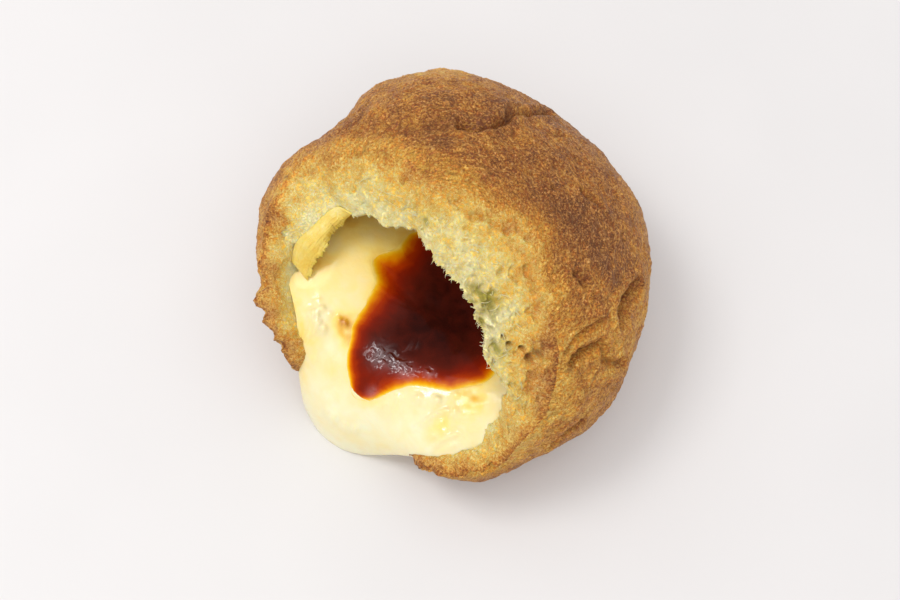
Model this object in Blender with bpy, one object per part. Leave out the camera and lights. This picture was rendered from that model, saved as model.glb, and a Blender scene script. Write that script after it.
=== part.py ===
"""A custard-filled cream puff, torn open at its front left, with a pool of caramel in the middle.

The choux shell is one closed loft of rings round the tear's axis: down the crust from the far pole to the
torn edge, across the slanted torn face to the lip, and back along the lining of the hollow. The custard
fills the hollow up to its open surface and runs over the low part of the wall on to the table. The caramel
is a thin lens that lies in a dip of the custard. Metres, +Z up; the puff stands on z = 0.
"""

import bmesh
import bpy
import numpy as np
from mathutils import Vector

MM = 0.001
GAP = 0.3 * MM  # air between two pieces that touch

# The bun: an ellipsoid round CENTRE_HEIGHT, flattened underneath, with lobes and dents on it
CENTRE_HEIGHT = 25.0 * MM
HALF_WIDTH = 43.3 * MM
HALF_DEPTH = 43.5 * MM
HALF_HEIGHT_ABOVE = 30.5 * MM
HALF_HEIGHT_BELOW = 36.0 * MM
FOOT_ROUNDING = 4.0 * MM
# (azimuth, elevation, height in mm, half-width in degrees); azimuth 0 is +X, 90 is the back
BUN_LOBES = (
    (100, 30, 6.2, 32),  # the big knob at the back
    (156, 8, 3.2, 17),
    (277, -20, 3.4, 15),
    (314, -14, 2.2, 18),
    (20, 10, 1.4, 26),
    (130, 16, -3.2, 7.5),  # the notch beside the knob
    (208, -8, -1.5, 12),
    (250, -22, -4.0, 9),
    (80, 47, -1.8, 7),  # the crease in front of the knob
    (343, 18, -1.6, 8),  # the slit on the right
    (318, 24, -1.2, 8),  # the fold on the right
)

# The tear: its axis points up to the front left; directions round it are measured from the right
TEAR_AXIS = Vector((-0.395, -0.671, 0.628)).normalized()
# (direction, angle from the axis) of the crust's torn edge, and of the lip round the hole
CRUST_EDGE = (
    (0, 56), (25, 58), (45, 64), (65, 69), (85, 66), (105, 63.5), (125, 67), (145, 72.5), (160, 75),
    (175, 68), (190, 61), (208, 59), (224, 55), (240, 61), (260, 63), (278, 60), (294, 56), (310, 54),
    (328, 56),
)
HOLE_LIP = (
    (0, 38), (12, 35.5), (34, 34), (50, 30.5), (70, 33), (90, 32), (104, 38), (118, 46.5), (134, 49),
    (150, 55), (161, 65), (180, 66), (195, 66), (209, 64), (225, 62), (246, 69), (276, 68), (294, 60),
    (310, 57), (328, 56), (344, 50),
)
# (waves round the tear, degrees, phase in degrees): how ragged the edge and the lip are
RAGGED_WAVES = ((7, 0.7, 20), (11, 0.6, 130), (17, 0.5, 250))
LIP_DEPTH = 8.0 * MM  # how far the lip lies below the crust
LIP_THICKNESS = 1.2 * MM
WALL = 7.0 * MM
FACE_BEND = 1.25  # above 1, the torn face leaves the crust with a rounded shoulder

# The custard: an open surface at CUSTARD_LEVEL with banks on it, which falls to its rim's height in a
# rounded front; the rim runs inside the wall, except where the tongue lies on the table
CUSTARD_LEVEL = 25.5 * MM
# (x, y, height, radius) in mm
CUSTARD_BANKS = ((-24, 7, 4.5, 14), (12, -33, 4.0, 9), (-34, -13, 1.5, 8), (-8, -30, -0.8, 7))
FRONT_FALL = 3.4  # the power of the rounded front
# (azimuth, radius in mm, height in mm) of the custard's rim
CUSTARD_RIM = (
    (0, 38.5, 25), (60, 38.5, 25), (110, 39, 25), (150, 39.5, 29), (178, 38.5, 28), (192, 38, 26),
    (202, 38.5, 23), (209, 41.5, 8), (216, 42.8, 0), (231, 43, 0), (238, 41, 0), (245, 39, 3),
    (252, 38.8, 10), (259, 40, 15), (267, 41.3, 17), (276, 40.5, 18), (286, 39, 22), (300, 38.5, 26),
    (330, 38.5, 25),
)
CUSTARD_UNDERSIDE = 3.0 * MM
FOOT_INSET = 14.0 * MM  # how far the custard's side draws in towards its underside
FOOT_INSET_HEIGHT = 20.0 * MM
CUSTARD_CORNER = 0.8 * MM

# The caramel: a pool round POOL_CENTRE, with (azimuth, radius in mm) of its rim
POOL_CENTRE = Vector((-6.0, -9.0, 0.0)) * MM
POOL_RIM = (
    (0, 19), (35, 17), (70, 19), (96, 19.8), (119, 16.2), (136, 17.2), (151, 12.9), (170, 13.6),
    (195, 17.5), (213, 21.2), (227, 23.9), (236, 22.5), (246, 18), (257, 16.4), (270, 16.7), (290, 19),
    (312, 21.2), (335, 21),
)
POOL_DIP = 2.5 * MM
POOL_BANK_SHARE = 0.25  # the share of the pool's radius over which its bank slopes down
CARAMEL_DEPTH = 4.0 * MM
CARAMEL_RIM = 0.8 * MM
CARAMEL_SWELL = 0.8 * MM

SHELL_AROUND, CRUST_RINGS, FACE_RINGS, LINING_RINGS = 60, 20, 5, 12
CUSTARD_AROUND, CUSTARD_RINGS, CUSTARD_SIDE_RINGS = 64, 12, 4
CARAMEL_AROUND, CARAMEL_RINGS = 44, 6

CENTRE = np.array((0.0, 0.0, CENTRE_HEIGHT))
RECENTRE = np.array((0.05, -0.94, 0.0)) * MM  # brings the middle of the whole puff's box over the origin


def direction(azimuth, elevation):
    """The unit vector at this azimuth and elevation in degrees."""
    azimuth, elevation = np.radians(azimuth), np.radians(elevation)
    flat = np.cos(elevation)
    return np.array((flat * np.cos(azimuth), flat * np.sin(azimuth), np.sin(elevation)))


def stations(angle, table, column=1):
    """A smooth closed curve through a table of (degrees, value, ...): cosine steps between its rows."""
    at = np.array([row[0] for row in table], float)
    value = np.array([row[column] for row in table], float)
    at = np.append(at, at[0] + 360)
    value = np.append(value, value[0])
    angle = (np.asarray(angle) - at[0]) % 360 + at[0]
    step = np.clip(np.searchsorted(at, angle, "right") - 1, 0, len(table) - 1)
    share = (angle - at[step]) / (at[step + 1] - at[step])
    return value[step] + (value[step + 1] - value[step]) * (1 - np.cos(np.pi * share)) / 2


def smooth_step(low, high, value):
    """0 below low, 1 above high, and a smooth rise between."""
    share = np.clip((value - low) / (high - low), 0, 1)
    return share * share * (3 - 2 * share)


def bun_radius(d):
    """How far the crust lies from CENTRE along unit vectors d."""
    half_height = np.where(d[..., 2] > 0, HALF_HEIGHT_ABOVE, HALF_HEIGHT_BELOW)
    radius = np.hypot(d[..., 0] / HALF_WIDTH, d[..., 1] / HALF_DEPTH)
    radius = 1 / np.hypot(radius, d[..., 2] / half_height)
    for azimuth, elevation, height, half_width in BUN_LOBES:
        near = d @ direction(azimuth, elevation)
        radius = radius + height * MM * np.exp(2 * (near - 1) / np.radians(half_width) ** 2)
    floor = CENTRE_HEIGHT / np.maximum(-d[..., 2], 1e-6)
    blend = np.clip(0.5 + 0.5 * (floor - radius) / FOOT_ROUNDING, 0, 1)
    return floor * (1 - blend) + radius * blend - FOOT_ROUNDING * blend * (1 - blend)


def tear_direction(angle, around):
    """The unit vector at this angle from the tear's axis and this direction round it, in degrees."""
    axis = np.array(TEAR_AXIS)
    across = np.cross(axis, (0, 0, 1))
    across = -across / np.linalg.norm(across)
    upward = np.cross(axis, across)
    angle, around = np.radians(angle)[..., None], np.radians(around)[..., None]
    spread = across * np.cos(around) + upward * np.sin(around)
    return axis * np.cos(angle) + spread * np.sin(angle)


def ragged(around):
    """A small uneven wave round the tear, in degrees."""
    return sum(size * np.sin(np.radians(count * around + phase)) for count, size, phase in RAGGED_WAVES)


def shell_rings():
    """The rings of the shell, from the crust's far pole round the lip to the lining's far pole.

    Along the crust the angle runs from 180 degrees to the edge's; across the torn face it runs on to the
    lip's while the depth grows from 0 to LIP_DEPTH; along the lining it runs back to 180 degrees.
    """
    around = np.arange(SHELL_AROUND) * 360 / SHELL_AROUND
    edge = stations(around, CRUST_EDGE) + ragged(around)
    lip = stations(around, HOLE_LIP) - ragged(around + 90)
    rows = []
    for share in np.linspace(0, 1, CRUST_RINGS + 1)[1:]:
        rows.append((180 + (edge - 180) * share, 0.0))
    for share in np.linspace(0, 1, FACE_RINGS + 1)[1:]:
        rows.append((edge + (lip - edge) * share, LIP_DEPTH * share**FACE_BEND))
    for share in np.linspace(0, 1, LINING_RINGS + 1)[:-1]:
        lining = LIP_DEPTH + LIP_THICKNESS + (WALL - LIP_DEPTH - LIP_THICKNESS) * smooth_step(0, 0.5, share)
        rows.append((lip + (180 - lip) * share, lining))
    rings = []
    for angle, depth in rows:
        d = tear_direction(angle, around)
        rings.append(CENTRE + d * (bun_radius(d) - depth)[..., None])
    pole = tear_direction(np.array(180.0), np.array(0.0))
    start = CENTRE + pole * bun_radius(pole)
    end = CENTRE + pole * (bun_radius(pole) - WALL)
    return start, rings, end


def pool_share(x, y):
    """How far out a point lies in the pool: 0 at its centre, 1 on its rim."""
    x, y = x - POOL_CENTRE.x, y - POOL_CENTRE.y
    rim = stations(np.degrees(np.arctan2(y, x)), POOL_RIM) * MM
    return np.hypot(x, y) / rim


def custard_top(x, y):
    """The height of the custard's open surface: its level and banks, less the pool's dip and the fall."""
    level = CUSTARD_LEVEL
    for bank_x, bank_y, height, radius in CUSTARD_BANKS:
        near = ((x / MM - bank_x) ** 2 + (y / MM - bank_y) ** 2) / radius**2
        level = level + height * MM * np.exp(-near)
    level = level - POOL_DIP * (1 - smooth_step(1 - POOL_BANK_SHARE, 1, pool_share(x, y)))
    azimuth = np.degrees(np.arctan2(y, x))
    share = np.hypot(x, y) / (stations(azimuth, CUSTARD_RIM) * MM)
    fall = np.sqrt(1 - np.minimum(share, 1) ** FRONT_FALL)
    rim_height = stations(azimuth, CUSTARD_RIM, 2) * MM
    return rim_height + (level - rim_height) * fall


def custard_rings():
    """The custard's rings: out over its open surface, down its side, and back along its underside.

    Inside the wall the side and the underside run through the shell; the tongue's come down to the table.
    """
    around = np.arange(CUSTARD_AROUND) * 360 / CUSTARD_AROUND
    rim = stations(around, CUSTARD_RIM) * MM
    rim_height = stations(around, CUSTARD_RIM, 2) * MM
    walled = smooth_step(0, FOOT_INSET_HEIGHT / 2, rim_height)
    x, y = np.cos(np.radians(around)), np.sin(np.radians(around))
    rings = []
    for share in np.sin(np.linspace(0, np.pi / 2, CUSTARD_RINGS + 1))[1:]:
        px, py = x * rim * share, y * rim * share
        rings.append(np.stack([px, py, custard_top(px, py)], -1))
    for share in np.linspace(0, 1, CUSTARD_SIDE_RINGS + 1)[1:]:
        height = rim_height + (CUSTARD_UNDERSIDE * walled - rim_height) * share
        inset = np.clip(1 - height / FOOT_INSET_HEIGHT, 0, 1) ** 2 * FOOT_INSET * walled
        radius = rim - np.maximum(inset, share * CUSTARD_CORNER)
        rings.append(np.stack([x * radius, y * radius, height], -1))
    for share in (0.66, 0.33):
        level = np.full(CUSTARD_AROUND, CUSTARD_UNDERSIDE)
        rings.append(np.stack([x * radius * share, y * radius * share, level], -1))
    top = np.array((0, 0, custard_top(0.0, 0.0)))
    return top, rings, np.array((0, 0, CUSTARD_UNDERSIDE))


def caramel_rings():
    """The caramel's rings: a slightly swollen top that meets the pool's rim, and a bowl below it."""
    around = np.arange(CARAMEL_AROUND) * 360 / CARAMEL_AROUND
    rim = stations(around, POOL_RIM) * MM
    x, y = np.cos(np.radians(around)), np.sin(np.radians(around))
    shares = np.linspace(0, 1, CARAMEL_RINGS + 1)[1:]
    rings = []
    for share, side in [(s, 1) for s in shares] + [(s, -1) for s in shares[::-1]]:
        px, py = POOL_CENTRE.x + x * rim * share, POOL_CENTRE.y + y * rim * share
        if side > 0:
            lift = CARAMEL_SWELL * (1 - share**6)
        else:
            lift = -CARAMEL_RIM - (CARAMEL_DEPTH - CARAMEL_RIM) * (1 - share**2)
        rings.append(np.stack([px, py, custard_top(px, py) + lift], -1))
    middle = custard_top(POOL_CENTRE.x, POOL_CENTRE.y)
    top = np.array((POOL_CENTRE.x, POOL_CENTRE.y, middle + CARAMEL_SWELL))
    bottom = np.array((POOL_CENTRE.x, POOL_CENTRE.y, middle - CARAMEL_DEPTH))
    return top, rings, bottom


def material(name, colour, roughness):
    """A Principled material of one colour."""
    made = bpy.data.materials.new(name)
    made.use_nodes = True
    shader = made.node_tree.nodes["Principled BSDF"]
    shader.inputs["Base Color"].default_value = (*colour, 1.0)
    shader.inputs["Roughness"].default_value = roughness
    return made


def loft(name, collection, rings, finish):
    """A closed mesh through a start point, rings of points and an end point, moved by RECENTRE."""
    start, rows, end = rings
    bm = bmesh.new()
    verts = [[bm.verts.new(point + RECENTRE) for point in row] for row in rows]
    first, last = bm.verts.new(start + RECENTRE), bm.verts.new(end + RECENTRE)
    count = len(verts[0])
    for i in range(count):
        j = (i + 1) % count
        bm.faces.new((first, verts[0][i], verts[0][j]))
        bm.faces.new((last, verts[-1][j], verts[-1][i]))
        for near, far in zip(verts, verts[1:]):
            bm.faces.new((near[i], far[i], far[j], near[j]))
    bmesh.ops.triangulate(bm, faces=[face for face in bm.faces if len(face.verts) > 3])
    bmesh.ops.recalc_face_normals(bm, faces=bm.faces)
    mesh = bpy.data.meshes.new(name)
    bm.to_mesh(mesh)
    bm.free()
    mesh.shade_smooth()
    made = bpy.data.objects.new(name, mesh)
    collection.objects.link(made)
    mesh.materials.append(finish)
    return made


def cut_round(piece, other, cutters):
    """Takes the other piece's shape out of this one, grown by GAP along its normals."""
    cutter = bpy.data.objects.new(other.name + "_grown", other.data)
    cutters.objects.link(cutter)
    cutter.hide_render = True
    cutter.display_type = "WIRE"
    grown = cutter.modifiers.new("grow", "DISPLACE")
    grown.strength = GAP
    grown.mid_level = 0.0
    modifier = piece.modifiers.new(cutter.name, "BOOLEAN")
    modifier.operation = "DIFFERENCE"
    modifier.solver = "EXACT"
    modifier.object = cutter


def main():
    for old in list(bpy.data.objects):
        bpy.data.objects.remove(old, do_unlink=True)
    puff = bpy.data.collections.new("cream_puff")
    cutters = bpy.data.collections.new("cutters")
    for collection in (puff, cutters):
        bpy.context.scene.collection.children.link(collection)

    baked = material("baked_choux", (0.36, 0.17, 0.05), 0.75)
    cream = material("custard_cream", (0.90, 0.74, 0.36), 0.35)
    syrup = material("caramel_syrup", (0.09, 0.012, 0.004), 0.12)

    shell = loft("choux_shell", puff, shell_rings(), baked)
    custard = loft("custard_filling", puff, custard_rings(), cream)
    caramel = loft("caramel_sauce", puff, caramel_rings(), syrup)
    cut_round(custard, shell, cutters)
    cut_round(custard, caramel, cutters)


main()
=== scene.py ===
"""A custard cream puff, torn open at its front left, with a pool of caramel: its looks, round the CAD frame.

Every shape is worked out in millimetres round the middle of the bun's foot. `loft` then moves it by RECENTRE
and turns it into metres, which puts it exactly where the CAD is.
"""

# %% [markdown]
# # The frame
# The CAD model is the fixed frame: its shell, custard and caramel say where everything is. Each piece below
# is a finer and more natural surface over one of them, so it repeats the CAD's own numbers and adds to them
# what baking and tearing do: wrinkles, bubbles, ragged edges, gloss and colour.

import bpy
import numpy as np
from mathutils import Matrix, Vector


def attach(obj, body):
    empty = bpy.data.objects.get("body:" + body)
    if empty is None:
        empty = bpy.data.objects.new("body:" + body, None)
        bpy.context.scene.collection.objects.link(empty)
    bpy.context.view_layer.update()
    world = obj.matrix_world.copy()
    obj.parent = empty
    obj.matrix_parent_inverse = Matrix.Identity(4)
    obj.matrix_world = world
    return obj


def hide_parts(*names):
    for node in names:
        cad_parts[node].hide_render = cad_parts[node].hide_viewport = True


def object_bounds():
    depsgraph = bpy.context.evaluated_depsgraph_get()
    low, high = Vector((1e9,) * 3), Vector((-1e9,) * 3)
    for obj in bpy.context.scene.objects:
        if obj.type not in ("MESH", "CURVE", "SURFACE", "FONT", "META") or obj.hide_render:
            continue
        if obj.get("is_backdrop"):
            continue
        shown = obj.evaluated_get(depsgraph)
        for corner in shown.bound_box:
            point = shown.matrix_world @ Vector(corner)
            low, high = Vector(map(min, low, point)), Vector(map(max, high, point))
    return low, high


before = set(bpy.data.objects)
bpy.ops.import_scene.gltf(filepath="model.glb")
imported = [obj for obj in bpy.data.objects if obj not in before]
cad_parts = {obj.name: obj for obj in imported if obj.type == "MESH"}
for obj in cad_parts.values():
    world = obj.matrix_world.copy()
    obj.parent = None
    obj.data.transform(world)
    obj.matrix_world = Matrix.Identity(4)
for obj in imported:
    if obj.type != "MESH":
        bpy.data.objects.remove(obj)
cad_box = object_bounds()
MM = 0.001
print("CAD nodes:", sorted(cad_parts), "box in mm:", [[round(c / MM, 1) for c in p] for p in cad_box])

# %% [markdown]
# # The bun's shape
# A choux bun is a ball of steam: nearly an ellipsoid, flat where it stood on the tray, with knobs where the
# skin gave way first. So its radius is a function of direction from one centre: the ellipsoid, plus a round
# lobe for each knob or dent. Directions round the tear are measured about an axis that points out of it.

# %% The numbers that the bun shares with the CAD, but for the lip from 161 to 195 degrees
RECENTRE = np.array((0.05, -0.94, 0.0))
CENTRE = np.array((0.0, 0.0, 25.0))
HALF_WIDTH, HALF_DEPTH, HALF_HEIGHT_ABOVE, HALF_HEIGHT_BELOW = 43.3, 43.5, 30.5, 36.0
FOOT_ROUNDING = 4.0
# (azimuth, elevation, height in mm, half-width in degrees); azimuth 0 is +X, 90 is the back
BUN_LOBES = (
    (100, 30, 6.2, 32), (156, 8, 3.2, 17), (277, -20, 3.4, 15), (314, -14, 2.2, 18), (20, 10, 1.4, 26),
    (130, 16, -3.2, 7.5), (208, -8, -1.5, 12), (250, -22, -4.0, 9), (80, 47, -1.8, 7), (343, 18, -1.6, 8),
    (318, 24, -1.2, 8),
)
TEAR_AXIS = np.array((-0.395, -0.671, 0.628)) / np.linalg.norm((-0.395, -0.671, 0.628))
# (direction round the tear, angle from its axis) of the crust's torn edge, and of the lip round the hole
CRUST_EDGE = (
    (0, 56), (25, 58), (45, 64), (65, 69), (85, 66), (105, 63.5), (125, 67), (145, 72.5), (160, 75),
    (175, 68), (190, 61), (208, 59), (224, 55), (240, 61), (260, 63), (278, 60), (294, 56), (310, 54),
    (328, 56),
)
HOLE_LIP = (
    (0, 38), (12, 35.5), (34, 34), (50, 30.5), (70, 33), (90, 32), (104, 38), (118, 46.5), (134, 49),
    (150, 55), (161, 64), (180, 64), (195, 64.5), (209, 64), (225, 62), (246, 69), (276, 68), (294, 60),
    (310, 57), (328, 56), (344, 50),
)
RAGGED_WAVES = ((7, 0.7, 20), (11, 0.6, 130), (17, 0.5, 250))
LIP_DEPTH, LIP_THICKNESS, WALL, FACE_BEND = 8.0, 0.7, 7.0, 1.25
# mm from CENTRE to the crust and to the torn face, which turn an angle into a distance along them
CRUST_ARM, FACE_ARM = 43.0, 42.0
print(len(BUN_LOBES), "lobes; the tear points", TEAR_AXIS.round(2))


# %% Directions, tables and the bun's radius
def direction(azimuth, elevation):
    """The unit vector at this azimuth and elevation in degrees."""
    azimuth, elevation = np.radians(azimuth), np.radians(elevation)
    flat = np.cos(elevation)
    return np.stack([flat * np.cos(azimuth), flat * np.sin(azimuth), np.sin(elevation)], -1)


def smooth_step(low, high, value):
    """0 below low, 1 above high, and 3 s^2 - 2 s^3 of the share s between."""
    share = np.clip((value - low) / (high - low), 0, 1)
    return share * share * (3 - 2 * share)


def between(value, start, full, fading, end):
    """1 from full to fading, easing down to 0 at start and at end."""
    return smooth_step(start, full, value) * (1 - smooth_step(fading, end, value))


def bell(value):
    """A bell curve, exp(-value^2): 1 at 0, a third at 1 and almost nothing from 2 on."""
    return np.exp(-(value**2))


def mound(x, y, row):
    """A bell curve in x and y: round the row's first two numbers, and as wide as its last, in mm."""
    return np.exp(-((x - row[0]) ** 2 + (y - row[1]) ** 2) / row[-1] ** 2)


def stations(angle, table, column=1):
    """A smooth closed curve through a table of (degrees, value, ...): cosine steps between its rows."""
    at = np.array([row[0] for row in table], float)
    value = np.array([row[column] for row in table], float)
    at = np.append(at, at[0] + 360)
    value = np.append(value, value[0])
    angle = (np.asarray(angle) - at[0]) % 360 + at[0]
    step = np.clip(np.searchsorted(at, angle, "right") - 1, 0, len(table) - 1)
    share = (angle - at[step]) / (at[step + 1] - at[step])
    return value[step] + (value[step + 1] - value[step]) * (1 - np.cos(np.pi * share)) / 2


def lobe(d, azimuth, elevation, half_width):
    """1 in this direction, falling off as a bell curve of this half-width in degrees."""
    return np.exp(2 * (d @ direction(azimuth, elevation) - 1) / np.radians(half_width) ** 2)


def bun_radius(d):
    """How far the crust lies from CENTRE along unit vectors d: the ellipsoid plus its lobes, cut flat below."""
    half_height = np.where(d[..., 2] > 0, HALF_HEIGHT_ABOVE, HALF_HEIGHT_BELOW)
    radius = np.hypot(d[..., 0] / HALF_WIDTH, d[..., 1] / HALF_DEPTH)
    radius = 1 / np.hypot(radius, d[..., 2] / half_height)
    for azimuth, elevation, height, half_width in BUN_LOBES:
        radius = radius + height * lobe(d, azimuth, elevation, half_width)
    floor = CENTRE[2] / np.maximum(-d[..., 2], 1e-6)
    blend = np.clip(0.5 + 0.5 * (floor - radius) / FOOT_ROUNDING, 0, 1)
    return floor * (1 - blend) + radius * blend - FOOT_ROUNDING * blend * (1 - blend)


def under_crust(d, depth=0.0):
    """The points this many mm under the smooth crust along unit vectors d."""
    return CENTRE + d * (bun_radius(d) - depth)[..., None]


def tear_direction(angle, around):
    """The unit vector at this angle from the tear's axis and this direction round it, in degrees."""
    across = np.cross((0, 0, 1), TEAR_AXIS)
    across = across / np.linalg.norm(across)
    upward = np.cross(TEAR_AXIS, across)
    angle, around = np.radians(angle)[..., None], np.radians(around)[..., None]
    spread = across * np.cos(around) + upward * np.sin(around)
    return TEAR_AXIS * np.cos(angle) + spread * np.sin(angle)


def ragged(around):
    """A small uneven wave round the tear, in degrees."""
    return sum(size * np.sin(np.radians(count * around + phase)) for count, size, phase in RAGGED_WAVES)


print("crust radius at the knob:", bun_radius(direction(100, 30)).round(2), "mm")

# %% [markdown]
# # Noise
# Real food is uneven at every scale. Three patterns make all of it: smooth noise for swells and stains,
# ridges, which are the folds of that noise, for wrinkles and torn fibres, and cells for the bubbles that steam
# leaves in dough. They are worked out for whole arrays of points at once, from numbers hashed out of each
# lattice corner, so they are the same in every run.


# %% Smooth noise, ridges and cells
def hashed(corner, seed):
    """A number from 0 to 1 for each whole-numbered corner: multiply by odd numbers and mix the bits."""
    whole = corner.astype(np.int64).astype(np.uint32)
    mixed = whole[..., 0] * np.uint32(0x8DA6B343) ^ whole[..., 1] * np.uint32(0xD8163841)
    mixed = mixed ^ whole[..., 2] * np.uint32(0xCB1AB31F) ^ np.uint32(seed * 0x9E3779B9 & 0xFFFFFFFF)
    for shift, factor in ((16, 0x7FEB352D), (15, 0x846CA68B)):
        mixed = (mixed ^ mixed >> np.uint32(shift)) * np.uint32(factor)
    return (mixed >> np.uint32(8)) / 0x1000000


def three(pattern, place, seed):
    """A vector for each point: the pattern with this seed, the next and the one after it."""
    return np.stack([pattern(place, seed + axis) for axis in range(3)], -1)


def noise(place, seed):
    """Smooth noise from about -1 to 1: each corner's random slope times the offset from it, blended."""
    base = np.floor(place)
    offset = place - base
    fade = offset**3 * (offset * (offset * 6 - 15) + 10)
    total = 0.0
    for corner in np.ndindex(2, 2, 2):
        slope = three(hashed, base + corner, 3 * seed) * 2 - 1
        weight = np.where(np.array(corner, bool), fade, 1 - fade).prod(-1)
        total = total + weight * ((offset - corner) * slope).sum(-1)
    return total * 1.7


def uneven(place, *layers):
    """Layers of smooth noise added up: (height, size in mm, seed) of each."""
    return sum(height * noise(place / size, seed) for height, size, seed in layers)


def ridges(place, seed):
    """Sharp crests where smooth noise crosses 0, at height 1, with round valleys between."""
    return 1 - np.minimum(np.abs(noise(place, seed)) * 2.6, 1)


def cells(place, seed):
    """Distances to the nearest and second nearest of one random point per unit cube, and the nearest's number."""
    base = np.floor(place)
    first = np.full(place.shape[:-1], 9.0)
    second, number = first.copy(), first.copy()
    for step in np.ndindex(3, 3, 3):
        cube = base + np.array(step) - 1
        point = cube + three(hashed, cube, 3 * seed)
        far = np.linalg.norm(place - point, axis=-1)
        second = np.where(far < first, first, np.minimum(second, far))
        number = np.where(far < first, hashed(cube, seed + 77), number)
        first = np.minimum(first, far)
    return first, second, number


def near_line(place, corners):
    """The distance from each point to a bent line through these corners."""
    best = np.full(place.shape[:-1], 1e9)
    for start, end in zip(corners, corners[1:]):
        along = end - start
        share = np.clip((place - start) @ along / (along @ along), 0, 1)
        best = np.minimum(best, np.linalg.norm(place - start - share[..., None] * along, axis=-1))
    return best


print("noise spans", np.ptp(noise(np.random.default_rng(1).random((4000, 3)) * 20, 5)).round(2))

# %% [markdown]
# # Making a mesh from a grid
# Every piece is a closed surface on a grid: rings of points round a way in from one pole to the other. The
# faces are the same for all of them, so one function makes the mesh straight from the arrays. It also stores
# what the materials read: numbers for each point, such as how deeply it is browned.


# %% The loft
def in_scene(name, data):
    """A new object that holds this data, linked into the scene."""
    made = bpy.data.objects.new(name, data)
    bpy.context.scene.collection.objects.link(made)
    return made


def loft(name, rings, start, end, fields, finish):
    """A closed mesh: a grid of rings, wrapped round, with a fan of triangles to the pole at each end.

    rings is (ring, round, xyz) in mm, fields has one number or vector for each of its points. The faces
    are turned over if the volume that they enclose comes out negative, so that they point outwards.
    """
    count, around = rings.shape[:2]
    points = np.vstack([start, rings.reshape(-1, 3), end]) + RECENTRE
    index = 1 + np.arange(count * around).reshape(count, around)
    beside = np.roll(index, -1, axis=1)
    quads = np.stack([index[:-1], index[1:], beside[1:], beside[:-1]], -1).reshape(-1, 4)
    first = np.stack([np.zeros(around, int), index[0], beside[0]], -1)
    last = np.stack([np.full(around, len(points) - 1), beside[-1], index[-1]], -1)
    fans = np.vstack([first, last])
    triangles = points[np.vstack([fans, quads[:, :3], quads[:, [0, 2, 3]]])]
    if np.linalg.det(triangles).sum() < 0:
        fans, quads = fans[:, ::-1], quads[:, ::-1]
    corners = np.concatenate([fans.ravel(), quads.ravel()])
    starts = np.concatenate([np.arange(len(fans)) * 3, len(fans) * 3 + np.arange(len(quads)) * 4])
    mesh = bpy.data.meshes.new(name)
    mesh.vertices.add(len(points))
    mesh.vertices.foreach_set("co", (points * MM).ravel())
    mesh.loops.add(len(corners))
    mesh.loops.foreach_set("vertex_index", corners)
    mesh.polygons.add(len(starts))
    mesh.polygons.foreach_set("loop_start", starts)
    mesh.update(calc_edges=True)
    mesh.shade_smooth()
    for field, values in fields.items():
        width = values.shape[2:]
        values = values.reshape((count, around) + width)
        ends = [values[0].mean(0), values[-1].mean(0)]
        filled = np.concatenate([np.ravel(ends[0]), values.ravel(), np.ravel(ends[1])])
        kind, slot = ("FLOAT_VECTOR", "vector") if width else ("FLOAT", "value")
        mesh.attributes.new(field, kind, "POINT").data.foreach_set(slot, filled)
    mesh.materials.append(finish)
    print(name, "-", 2 * len(quads) + len(fans), "triangles,", np.ptp(points, axis=0).round(1), "mm")
    return in_scene(name, mesh)


# %% [markdown]
# # Materials
# Colours are written as the hex values that a paint chart gives and turned linear by one function. Another
# adds a node, with its settings and links, and a few short ones name the nodes that every material here uses.
# Patterns are scaled in millimetres: Object coordinates are metres, so a size of 2.5 * MM repeats every 2.5 mm.


# %% Colour and node helpers
def linear(code):
    """The linear red, green, blue and alpha of an sRGB hex colour: x / 12.92, or ((x + 0.055) / 1.055)^2.4."""
    parts = np.array([int(code[i : i + 2], 16) for i in (1, 3, 5)]) / 255
    parts = np.where(parts <= 0.04045, parts / 12.92, ((parts + 0.055) / 1.055) ** 2.4)
    return (*parts.tolist(), 1.0)


def add(tree, kind, inputs=None, stops=(), **settings):
    """Adds a node. settings are its properties, inputs its sockets: a value, or an output to link from.

    stops are a colour ramp's (position, hex colour) pairs.
    """
    made = tree.nodes.new(kind)
    for key, value in settings.items():
        setattr(made, key, value)
    for key, value in (inputs or {}).items():
        if isinstance(value, bpy.types.NodeSocket):
            tree.links.new(value, made.inputs[key])
        else:
            made.inputs[key].default_value = value
    for number, (position, code) in enumerate(stops):
        ramp = made.color_ramp.elements
        stop = ramp[number] if number < 2 else ramp.new(position)
        stop.position, stop.color = position, linear(code)
    return made


def stored(tree, name, output="Fac"):
    """What the mesh holds under this name for each point."""
    return add(tree, "ShaderNodeAttribute", attribute_name=name).outputs[output]


def grain_of(tree, place, size, detail, roughness, distortion=0.0):
    """Noise from 0 to 1 with lumps of this size, in the units of place."""
    return add(tree, "ShaderNodeTexNoise", {
        "Vector": place, "Scale": 1 / size, "Detail": detail, "Roughness": roughness, "Distortion": distortion,
    }).outputs["Fac"]


def spread(tree, value, low, high, to_low, to_high):
    """The value where it goes from low to high, stretched to go from to_low to to_high and no further."""
    return add(tree, "ShaderNodeMapRange", {
        "Value": value, "From Min": low, "From Max": high, "To Min": to_low, "To Max": to_high,
    }).outputs["Result"]


def arithmetic(tree, operation, first, second=0.5, use_clamp=False):
    """One step of arithmetic on two values, or on the first alone."""
    settings = {"operation": operation, "use_clamp": use_clamp}
    return add(tree, "ShaderNodeMath", {0: first, 1: second}, **settings).outputs[0]


def blended(tree, share, below, above):
    """A colour between two: below where the share is 0, above where it is 1."""
    return add(tree, "ShaderNodeMix", {0: share, 6: below, 7: above}, data_type="RGBA").outputs[2]


def coloured(tree, value, *stops):
    """The ramp's colour at this value."""
    return add(tree, "ShaderNodeValToRGB", {"Fac": value}, stops=stops).outputs["Color"]


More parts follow.
